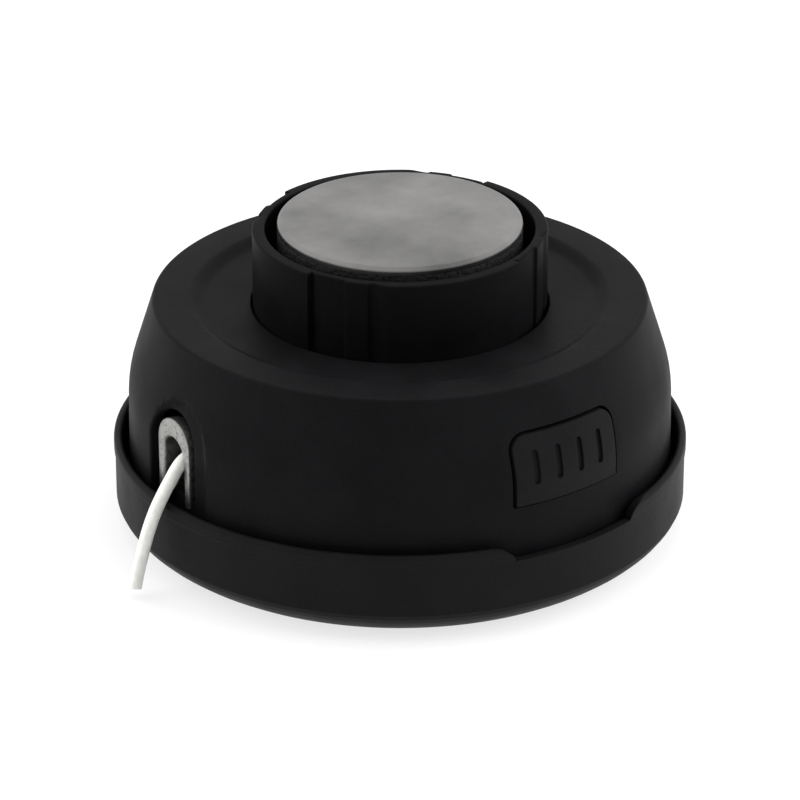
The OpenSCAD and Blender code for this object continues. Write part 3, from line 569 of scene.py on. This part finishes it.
class TRIMMER_OT_cover(bpy.types.Operator):
    """Makes the cover: a turned top on a pierced side with soft edges and scoops"""

    bl_idname = "trimmer.cover"
    bl_label = "Cover"

    def side_radius(self, s, z, inset):
        """Radius of the side at a height, on the skin that lies inset below the outer one."""
        arc_x = s.side_r - s.bend_r * math.cos(s.draft)
        arc_z = s.bend_z - s.bend_r * math.sin(s.draft)
        lean_z = arc_z + (s.bend_r - inset) * math.sin(s.lean)
        if z <= s.bend_z:
            return s.side_r + (s.bend_z - z) * math.tan(s.draft) - inset
        if z <= lean_z:
            return arc_x + math.sqrt((s.bend_r - inset) ** 2 - (z - arc_z) ** 2)
        lean_x = arc_x + (s.bend_r - inset) * math.cos(s.lean)
        return lean_x - (z - lean_z) * math.tan(s.lean)

    def scoop(self, s, side, z):
        """Depth of the scoop at a point beside the arch's middle. The scoop narrows where the side leans in."""
        out = math.sqrt(max(self.side_radius(s, z, 0) ** 2 - side * side, 0.0))
        reach = s.scoop_r - s.scoop_slope * (s.side_r - out)
        from_middle = math.hypot(side - s.scoop_side, max(z - s.scoop_z, 0.0))
        return s.scoop_d * ease((reach - from_middle) / s.scoop_soft)

    def arch(self, s, grown):
        """The arch's outline as (sideways, height) from its left foot to its right one."""
        w, centre = s.arch_w + grown, s.arch_z - s.arch_w
        left = [(-w, z) for z in steps(s.low_z, centre, 20)[:-1]]
        return left + bend(0, centre, w, 180, 0, 36) + [(-y, z) for y, z in reversed(left)]

    def window(self, s, grown):
        """The window's outline as a closed loop of (sideways, height)."""
        w, r = s.window_w + grown, s.window_corner + grown
        low, high = s.window_low - grown, s.window_top + grown
        left = bend(-w + r, high - r, r, 180, 90, 6)
        top = [(y, high) for y in steps(-w + r, w - r, 16)[1:-1]]
        loop = [(-w, z) for z in steps(low, high - r, 12)[:-1]] + left + top
        loop += [(-y, z) for y, z in reversed(left)] + [(w, z) for z in steps(high - r, low, 12)[1:]]
        return loop + [(y, low) for y in steps(w, -w, 20)[1:-1]]

    def half_side(self, s, sizes, inset):
        """Half a turn of one skin of the side.

        It returns the points, and as lists of point numbers the triangles, the rims of arch
        and window, and the lower edge.
        """
        start = sizes.exit_az - HALF_START
        top_z = s.seam_z if inset == 0 else s.ceiling_z
        flat, points, edges, rims = [], [], [], []

        def put(azimuth, side, z, depth):
            """Adds a point beside the middle of a feature at an azimuth."""
            r = self.side_radius(s, z, inset)
            out = math.sqrt((r - depth) ** 2 - side * side)
            points.append(at_azimuth([out / MM, side / MM, z / MM], azimuth))
            flat.append(Vector(((azimuth + math.asin(side / r) - start) * s.side_r, z)))
            return len(points) - 1

        def put_plain(u, azimuth, z):
            """Adds a point of the plain sheet, which the scoop sinks on the outer skin."""
            depth = 0.0 if inset else self.scoop(s, math.sin(azimuth - sizes.exit_az) * s.side_r, z)
            r = self.side_radius(s, z, inset) - depth
            points.append(Vector((r * math.sin(azimuth), -r * math.cos(azimuth), z)))
            flat.append(Vector((u, z)))
            return len(points) - 1

        feet = []
        openings = ((self.arch, sizes.exit_az, ARCH_ROUNDING), (self.window, sizes.tab_az, WINDOW_ROUNDING))
        for outline, azimuth, soft in openings:
            for a in steps(0, 90, 4):
                grown = soft * (1 - math.cos(math.radians(a)))
                sunk = soft * (1 - math.sin(math.radians(a)))
                loop = []
                for side, z in outline(s, grown):
                    depth = 0.0 if inset else sunk + self.scoop(s, side, z) * (outline == self.arch)
                    loop.append(put(azimuth, side, z, depth))
                edges += zip(loop, loop[1:])
                if outline == self.window:
                    edges.append((loop[-1], loop[0]))
                else:
                    feet += [loop[0], loop[-1]]
                if a == 0:
                    rims.append(loop + ([loop[0]] if outline == self.window else []))
        holes = [[flat[i] for i in rim] for rim in rims]
        marks = [flat[i] for rim in rims for i in rim]

        def clear(u, z, gap):
            """True where a point lies in the sheet, away from the rims."""
            nearest = min((u - m.x) ** 2 + (z - m.y) ** 2 for m in marks)
            return nearest > gap * gap and not any(inside(u, z, h) for h in holes)

        foot, columns = [], 180 // COLUMN_STEP
        for column in range(columns + 1):
            azimuth = start + math.radians(COLUMN_STEP * column)
            for row in range(ROWS + 1):
                z = s.low_z + (top_z - s.low_z) * row / ROWS
                u = (azimuth - start) * s.side_r
                if row in (0, ROWS) and column in (0, columns) or row == ROWS or clear(u, z, COARSE_GAP):
                    number = put_plain(u, azimuth, z)
                    if row == 0:
                        foot.append(number)
        middle_u = (sizes.exit_az - start) * s.side_r
        coarse = [f for f in flat if abs(f.x - middle_u) < FINE_REACH + MM]
        for u in steps(middle_u - FINE_REACH, middle_u + FINE_REACH, 53):
            for z in steps(s.low_z + FINE_FOOT, s.seam_z - FINE_HEAD, 40):
                if not clear(u, z, FINE_GAP):
                    continue
                if min((u - f.x) ** 2 + (z - f.y) ** 2 for f in coarse) > FINE_PITCH**2:
                    put_plain(u, start + u / s.side_r, z)
        # The sheet is triangulated in millimetres, so that its tolerance stays small
        _, _, triangles, origin, _, _ = delaunay_2d_cdt([f * 1000 for f in flat], edges, [], 0, 1e-6)
        back = [group[0] for group in origin]
        faces = []
        for t in triangles:
            corners = [back[i] for i in t]
            middle = sum((flat[i] for i in corners), Vector((0, 0))) / 3
            if not any(inside(middle.x, middle.y, h) for h in holes):
                faces.append(corners)
        feet = sorted(feet + foot, key=lambda i: flat[i].x)
        return points, faces, rims, feet

    def lug(self, s, azimuth):
        """One ratchet lug under the top, as points and faces."""
        sunk, tip_z, foot_w = s.ceiling_z + LUG_SUNK, s.ceiling_z - s.lug_h, -s.lug_foot_w
        outline = [(0, sunk), (0, tip_z), (-s.lug_tip_w, tip_z), (foot_w, s.ceiling_z), (foot_w, sunk)]
        rings = []
        for x in (s.lug_in_r, s.lug_out_r):
            rings.append([at_azimuth((x / MM, y / MM, z / MM), azimuth) for y, z in outline])
        return rings[0] + rings[1], ring_faces(rings, caps=True)

    def top_outline(self, s):
        """Section of the top from the outer seam over the shoulder and round the hole to the inner seam."""
        shoulder_z = s.top_z - s.shoulder_r
        shoulder_x = self.side_radius(s, shoulder_z, 0) - s.shoulder_r / math.cos(s.lean)
        flat_z, e = s.top_z - s.top_dip, HOLE_ROUNDING
        slope = []
        for t in steps(0, 1, 10):
            r = s.slope_out_r + (s.slope_in_r - s.slope_out_r) * t
            slope.append((r, s.top_z - s.top_dip * (1 - math.cos(math.pi * t)) / 2))
        return [
            (self.side_radius(s, s.seam_z, 0), s.seam_z),
            *bend(shoulder_x, shoulder_z, s.shoulder_r, math.degrees(s.lean), 90, 9), *slope,
            *bend(s.hole_r + e, flat_z - e, e, 90, 180), (s.hole_r, s.ceiling_z),
            (self.side_radius(s, s.ceiling_z, s.wall_t), s.ceiling_z),
        ]

    def execute(self, context):
        s, sizes, finish = context.scene.cover_sizes, context.scene.head_sizes, context.scene.head_finish
        outer, outer_faces, outer_rims, outer_feet = self.half_side(s, sizes, 0.0)
        inner, inner_faces, inner_rims, inner_feet = self.half_side(s, sizes, s.wall_t)
        points = outer + inner
        shift = len(outer)
        faces = [list(f) for f in outer_faces] + [[i + shift for i in f] for f in inner_faces]
        arch_feet = {outer_rims[0][0], outer_rims[0][-1]}
        for outer_rim, inner_rim in zip(outer_rims + [outer_feet], inner_rims + [inner_feet]):
            for k in range(len(outer_rim) - 1):
                if outer_rim is outer_feet and {outer_rim[k], outer_rim[k + 1]} == arch_feet:
                    continue
                faces.append([outer_rim[k], outer_rim[k + 1], inner_rim[k + 1] + shift, inner_rim[k] + shift])
        half = len(points)
        points += [Matrix.Rotation(math.pi, 3, "Z") @ p for p in points]
        faces += [[i + half for i in f] for f in faces]
        rings, columns = [], 360 // COLUMN_STEP
        for column in range(columns):
            a = sizes.exit_az - HALF_START + math.radians(COLUMN_STEP * column)
            rings.append([(r * math.sin(a), -r * math.cos(a), z) for r, z in self.top_outline(s)])
        base, count = len(points), len(rings[0])
        points += [p for ring in rings for p in ring]
        for column in range(columns):
            a, b = base + column * count, base + (column + 1) % columns * count
            faces += [[a + i, a + i + 1, b + i + 1, b + i] for i in range(count - 1)]
        for i in range(LUGS):
            lug_points, lug_faces = self.lug(s, math.radians(360 / LUGS * i))
            faces += [[k + len(points) for k in f] for f in lug_faces]
            points += lug_points
        nylon = moulded_nylon(
            "moulded_cover_nylon", finish.shell, finish.shell_grain,
            depth=0.06 * MM, roughness=0.52, gloss=0.04, edge_r=0.0,
        )
        mesh = finished_mesh("cover_moulding", points, faces, 30)
        add_mesh("cover_moulding", mesh, nylon, "head", ["cover"])
        return {"FINISHED"}


class TRIMMER_OT_knob(bpy.types.Operator):
    """Makes the knob's moulding with its four lobes"""

    bl_idname = "trimmer.knob"
    bl_label = "Knob"

    def outline(self, s):
        """The collar's outside as (direction, radius): soft ramps, lobes with a sharp end, grooves and ribs."""
        stops = [
            (0, s.gap_r - s.groove_d), (0.7, s.gap_r - s.groove_d), (1.4, s.gap_r), (15, s.gap_r), (16.4, s.rib_r),
            (24.6, s.rib_r), (26, s.gap_r), (34, s.lobe_r), (89.7, s.lobe_r), (90, s.gap_r - s.groove_d),
        ]
        points = []
        for quarter in range(4):
            for (a, ra), (b, rb) in zip(stops, stops[1:]):
                count = 8 if ra != rb else round(b - a)
                for t in steps(0, 1, count)[:-1]:
                    angle = s.lobe_end + math.radians(90 * quarter + a + (b - a) * t)
                    points.append((angle, ra + (rb - ra) * ease(t)))
        return points

    def section(self, s, radius):
        """The moulding's section at a direction where the collar's outside has that radius."""
        e = s.rounding
        return [
            (radius - e, s.low_z), (radius, s.low_z + e),
            *bend(radius - e, s.rim_z - e, e, 0, 90), *bend(s.bore_r + e, s.rim_z - e, e, 90, 180),
            *bend(s.bore_r - 2 * e, s.deck_z + 2 * e, 2 * e, 0, -90),
            *bend(s.boss_r + 2 * e, s.deck_z + 2 * e, 2 * e, 270, 180),
            *bend(s.boss_r - e, s.boss_z - e, e, 0, 90), *bend(s.seat_r + e, s.boss_z - e, e, 90, 180),
            (s.seat_r, s.seat_z), (s.shelf_r, s.seat_z), (s.shelf_r, s.floor_z),
            (s.bore_r, s.floor_z), (s.bore_r, s.low_z),
        ]

    def execute(self, context):
        s, finish = context.scene.knob_sizes, context.scene.head_finish
        rings = []
        for a, radius in self.outline(s):
            rings.append([(r * math.cos(a), r * math.sin(a), z) for r, z in self.section(s, radius)])
        nylon = moulded_nylon(
            "moulded_knob_nylon", finish.knob, finish.shell_grain,
            depth=0.02 * MM, roughness=0.48, gloss=0.025, edge_r=0.0,
        )
        collar = skin("knob_moulding", rings, loop=True)
        add_mesh("knob_moulding", collar, nylon, "spool_group", ["knob"])
        return {"FINISHED"}


class TRIMMER_OT_button(bpy.types.Operator):
    """Finishes the button and its steel face"""

    bl_idname = "trimmer.button"
    bl_label = "Button"

    def execute(self, context):
        finish = context.scene.head_finish
        dress(grained_plastic("coarse_grained_plastic", finish.button, finish.button_grain), "button_body")
        # The steel face carries a painted reflection, darker at the left and lighter at the right
        dress(satin_stainless("satin_stainless_steel", finish.face, finish.face_tone_and_sheen), "button_cap")
        return {"FINISHED"}


class TRIMMER_OT_eyelets(bpy.types.Operator):
    """Makes the two eyelets, horseshoes with a rounded mouth"""

    bl_idname = "trimmer.eyelets"
    bl_label = "Eyelets"

    def section(self, s):
        """The wall's outline as (distance from the middle, distance out, height of the round top's centre)."""
        outer = [
            (s.face_r - s.edge_r / 2, s.back_x), (s.face_r, s.back_x + s.edge_r / 2),
            (s.face_r, s.back_x + s.back_t), (s.neck_r, s.back_x + s.back_t),
            (s.neck_r, s.face_x - s.front_t), (s.face_r - s.edge_r / 2, s.face_x - s.front_t),
            *bend(s.face_r - s.edge_r, s.face_x - s.edge_r, s.edge_r, 0, 90),
        ]
        inner = [
            *bend(s.hole_r + s.mouth_r, s.face_x - s.mouth_r, s.mouth_r, 90, 180, 8),
            *bend(s.hole_r + s.back_t / 2, s.back_x + s.back_t / 2, s.back_t / 2, 180, 270),
        ]
        return [(r, x, s.top_z) for r, x in outer] + [(r, x, s.hole_z) for r, x in inner]

    def execute(self, context):
        s, azimuth = context.scene.eyelet_sizes, context.scene.head_sizes.exit_az
        zinc = tumbled_zinc("tumbled_zinc", context.scene.head_finish.eyelet)
        for name, place in (("eyelet_left", azimuth), ("eyelet_right", azimuth + math.pi)):
            rings = []
            for t in steps(0, 1, 8)[:-1]:
                rings.append([(x, -r, s.low_z + (top - s.low_z) * t) for r, x, top in self.section(s)])
            for a in steps(0, math.pi, 40):
                rings.append([(x, -r * math.cos(a), top + r * math.sin(a)) for r, x, top in self.section(s)])
            for t in steps(1, 0, 8)[1:]:
                rings.append([(x, r, s.low_z + (top - s.low_z) * t) for r, x, top in self.section(s)])
            rings = [[at_azimuth([c / MM for c in p], place) for p in ring] for ring in rings]
            add_mesh(name + "_casting", skin(name, rings, caps=True), zinc, "head", [name])
        return {"FINISHED"}


class TRIMMER_OT_line(bpy.types.Operator):
    """Makes the two free ends of cutting line and finishes the windings"""

    bl_idname = "trimmer.line"
    bl_label = "Cutting line"

    def wind(self, name, line_d, nylon):
        """A full winding: a packed core, and over it two layers of turns that each step across at one place."""
        low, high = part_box(name)
        radius, height = high.x - line_d / 2, high.z - low.z
        pitch = height / 3
        core = turned(name + "_core", [
            (SLEEVE_R, low.z), (radius - line_d, low.z), (radius - line_d / 2, low.z + pitch / 2),
            (radius - line_d / 2, high.z - pitch / 2), (radius - line_d, high.z), (SLEEVE_R, high.z),
        ])
        add_mesh(name + "_core", core, nylon, "spool_group", [name])
        for layer, turns in ((0, 3), (1, 2)):
            path = []
            for t in steps(0, turns - CAP_GAP, turns * 90):
                turn_no = min(int(t), turns - 1)
                across = ease((t - turn_no - (1 - CROSSING)) / CROSSING) if turn_no < turns - 1 else 0
                height = low.z + pitch * (0.5 + layer / 2 + turn_no + across)
                path.append((t * math.tau, radius - layer * line_d * LAYER_STEP, height))
            label = f"{name}_layer_{layer + 1}"
            add_mesh(label, coiled(label, path, line_d / 2), nylon, "spool_group", [])

    def execute(self, context):
        sizes = context.scene.head_sizes
        nylon = nylon_monofilament("clear_nylon_line", context.scene.head_finish.line)
        for name in ("line_winding_upper", "line_winding_lower"):
            self.wind(name, sizes.line_d, nylon)
        for name, azimuth in (("line_end_left", sizes.exit_az), ("line_end_right", sizes.exit_az + math.pi)):
            points = route_points(azimuth)
            curve = bpy.data.curves.new(name + "_nylon", "CURVE")
            curve.dimensions = "3D"
            curve.bevel_depth = sizes.line_d / 2
            curve.bevel_resolution = 6
            curve.resolution_u = 8
            curve.use_fill_caps = True
            spline = curve.splines.new("NURBS")
            spline.points.add(len(points) - 1)
            for knot, point in zip(spline.points, points):
                knot.co = (*point, 1.0)
            spline.use_endpoint_u = True
            spline.order_u = 3
            piece = bpy.data.objects.new(name + "_nylon", curve)
            context.scene.collection.objects.link(piece)
            curve.materials.append(nylon)
            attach(piece, "head")
            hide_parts(name)
        return {"FINISHED"}


class TRIMMER_OT_works(bpy.types.Operator):
    """Finishes the spool, the spring, the bearing and the drive insert"""

    bl_idname = "trimmer.works"
    bl_label = "Inner works"

    def coil_spring(self, sizes, steel):
        """The spring under the spool, with a closed turn at each end. It is made at one length, and nothing here
        shortens it when the head is bumped.
        """
        low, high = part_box("spring")
        wire, turns = sizes.wire_d, SPRING_TURNS
        length = high.z - low.z - wire
        path = []
        for t in steps(0, turns, turns * 64):
            open_turns = min(max(t - 1, 0), turns - 2)
            closed = min(t, 1) + max(t - turns + 1, 0)
            free = length - 2 * CLOSED_PITCH * wire
            rise = CLOSED_PITCH * wire * closed + free * open_turns / (turns - 2)
            path.append((t * math.tau, high.x - wire / 2, low.z + wire / 2 + rise))
        coil = coiled("spring_coil", path, wire / 2, 16)
        piece = add_mesh("spring_coil", coil, steel, "head", ["spring"])
        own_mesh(piece)

    def execute(self, context):
        finish = context.scene.head_finish
        nylon = moulded_nylon(
            "moulded_spool_nylon", finish.knob, finish.shell_grain,
            depth=0.03 * MM, roughness=0.52, gloss=0.1,
        )
        dress(nylon, "spool")
        dress(machined_steel("zinc_plated_steel", "#a9a79c", 0.36, 0.4 * MM), "drive_insert", "knob_screws")
        spring_steel = machined_steel("drawn_spring_steel", "#77777a", 0.3, 0.3 * MM)
        dress(spring_steel, "thrust_washer", "retaining_clip")
        self.coil_spring(context.scene.head_sizes, spring_steel)
        bearing_nodes = ("bearing_outer_ring", "bearing_inner_ring", "bearing_balls")
        dress(machined_steel("ground_bearing_steel", "#c4c5c8", 0.12, 0.2 * MM), *bearing_nodes)
        dress(machined_steel("stamped_brass", "#b08d4a", 0.35, 0.5 * MM), "bearing_cage")
        dress(nitrile_rubber("nitrile_rubber", "#1a1a1b"), "bearing_seal_upper", "bearing_seal_lower")
        return {"FINISHED"}


def add_light(name, place, aim, width, height, watts):
    """A soft box at a place, facing a point. It lights the part, and the steel face mirrors only the room."""
    lamp = bpy.data.lights.new(name, "AREA")
    lamp.shape = "RECTANGLE"
    lamp.size = width
    lamp.size_y = height
    lamp.energy = watts
    holder = bpy.data.objects.new(name, lamp)
    bpy.context.scene.collection.objects.link(holder)
    holder.visible_glossy = False
    holder.location = place
    holder.rotation_euler = (Vector(aim) - Vector(place)).to_track_quat("-Z", "Y").to_euler()


class TRIMMER_OT_stage(bpy.types.Operator):
    """Sets up the camera, the pale floor, the world and the soft lights"""

    bl_idname = "trimmer.stage"
    bl_label = "Stage"

    def execute(self, context):
        stage = context.scene.head_stage
        aim = Vector((0.0, 0.0, stage.aim_z))
        back = Vector((0.0, -math.cos(stage.elevation), math.sin(stage.elevation))) * stage.distance
        lens = bpy.data.cameras.new("photo_camera")
        lens.sensor_width = 36.0
        lens.lens = stage.lens
        lens.clip_end = 50.0
        camera = bpy.data.objects.new("photo_camera", lens)
        context.scene.collection.objects.link(camera)
        camera.location = aim + back
        camera.rotation_euler = (-back).to_track_quat("-Z", "Y").to_euler()
        context.scene.camera = camera
        context.scene.view_settings.view_transform = "Standard"
        self.add_floor(context)
        self.add_world(context)
        middle = (0.0, 0.0, 0.03)
        add_light("top_box", (0.0, 0.15, 0.9), middle, 0.7, 0.5, 5.0)
        add_light("left_box", (-0.75, 0.1, 0.4), middle, 0.9, 0.8, 9.0)
        add_light("right_box", (0.75, 0.1, 0.4), middle, 0.9, 0.8, 13.5)
        return {"FINISHED"}

    def add_floor(self, context):
        """A large pale floor that reads white to the camera and in reflections, and keeps a shadow."""
        half = 4.0
        mesh = bpy.data.meshes.new("floor")
        corners = [(-half, -half, 0), (half, -half, 0), (half, half, 0), (-half, half, 0)]
        mesh.from_pydata(corners, [], [(0, 1, 2, 3)])
        floor = bpy.data.objects.new("floor", mesh)
        context.scene.collection.objects.link(floor)
        material = bpy.data.materials.new("white_paper")
        material.use_nodes = True
        material.node_tree.nodes.clear()
        seen = self.seen_directly(material)
        paper = node(material, "ShaderNodeBsdfDiffuse", Color=(0.8, 0.8, 0.8, 1.0))
        glow = node(material, "ShaderNodeEmission", Color=(1.0, 1.0, 1.0, 1.0), Strength=1.0)
        pale = node(material, "ShaderNodeMixShader", input_0=0.72, input_1=paper.outputs[0], input_2=glow.outputs[0])
        both = node(material, "ShaderNodeMixShader", input_0=seen, input_1=paper.outputs[0], input_2=pale.outputs[0])
        node(material, "ShaderNodeOutputMaterial", Surface=both.outputs[0])
        mesh.materials.append(material)

    def add_world(self, context):
        """White to the camera and in reflections, and a plain grey sky for the rest."""
        world = bpy.data.worlds.new("studio")
        world.use_nodes = True
        world.node_tree.nodes.clear()
        context.scene.world = world
        seen = self.seen_directly(world)
        sky = node(world, "ShaderNodeBackground", Color=(1.0, 1.0, 1.0, 1.0), Strength=0.55)
        white = node(world, "ShaderNodeBackground", Color=(1.0, 1.0, 1.0, 1.0), Strength=1.0)
        both = node(world, "ShaderNodeMixShader", input_0=seen, input_1=sky.outputs[0], input_2=white.outputs[0])
        node(world, "ShaderNodeOutputWorld", Surface=both.outputs[0])

    def seen_directly(self, owner):
        """1 for camera, glossy and transmission rays, and 0 for the rest."""
        path = node(owner, "ShaderNodeLightPath")
        two = node(
            owner, "ShaderNodeMath", {"operation": "MAXIMUM"},
            input_0=path.outputs["Is Camera Ray"], input_1=path.outputs["Is Glossy Ray"],
        )
        three = node(
            owner, "ShaderNodeMath", {"operation": "MAXIMUM"},
            input_0=two.outputs[0], input_1=path.outputs["Is Transmission Ray"],
        )
        return three.outputs[0]


OPERATORS = (
    TRIMMER_OT_stage,
    TRIMMER_OT_line,
    TRIMMER_OT_shells,
    TRIMMER_OT_cover,
    TRIMMER_OT_knob,
    TRIMMER_OT_button,
    TRIMMER_OT_eyelets,
    TRIMMER_OT_works,
)


class TRIMMER_PT_panel(bpy.types.Panel):
    """Lists the sizes, the finishes and the steps"""

    bl_idname = "TRIMMER_PT_panel"
    bl_label = "Trimmer head"
    bl_space_type = "VIEW_3D"
    bl_region_type = "UI"
    bl_category = "Trimmer head"

    def draw(self, context):
        for group in GROUPS:
            owner = getattr(context.scene, group)
            box = self.layout.box()
            for name in owner.__annotations__:
                box.prop(owner, name)
        for step in OPERATORS:
            self.layout.operator(step.bl_idname)


GROUPS = {
    "head_sizes": HeadSizes,
    "cover_sizes": CoverSizes,
    "knob_sizes": KnobSizes,
    "eyelet_sizes": EyeletSizes,
    "head_finish": HeadFinish,
    "head_stage": StageSettings,
}
CLASSES = (*GROUPS.values(), *OPERATORS, TRIMMER_PT_panel)


def register():
    for cls in CLASSES:
        bpy.utils.register_class(cls)
    for name, group in GROUPS.items():
        setattr(bpy.types.Scene, name, bpy.props.PointerProperty(type=group))


def unregister():
    for name in GROUPS:
        delattr(bpy.types.Scene, name)
    for cls in reversed(CLASSES):
        bpy.utils.unregister_class(cls)


def main():
    register()
    for step in OPERATORS:
        group, name = step.bl_idname.split(".")
        getattr(getattr(bpy.ops, group), name)()


if __name__ == "__main__":
    main()
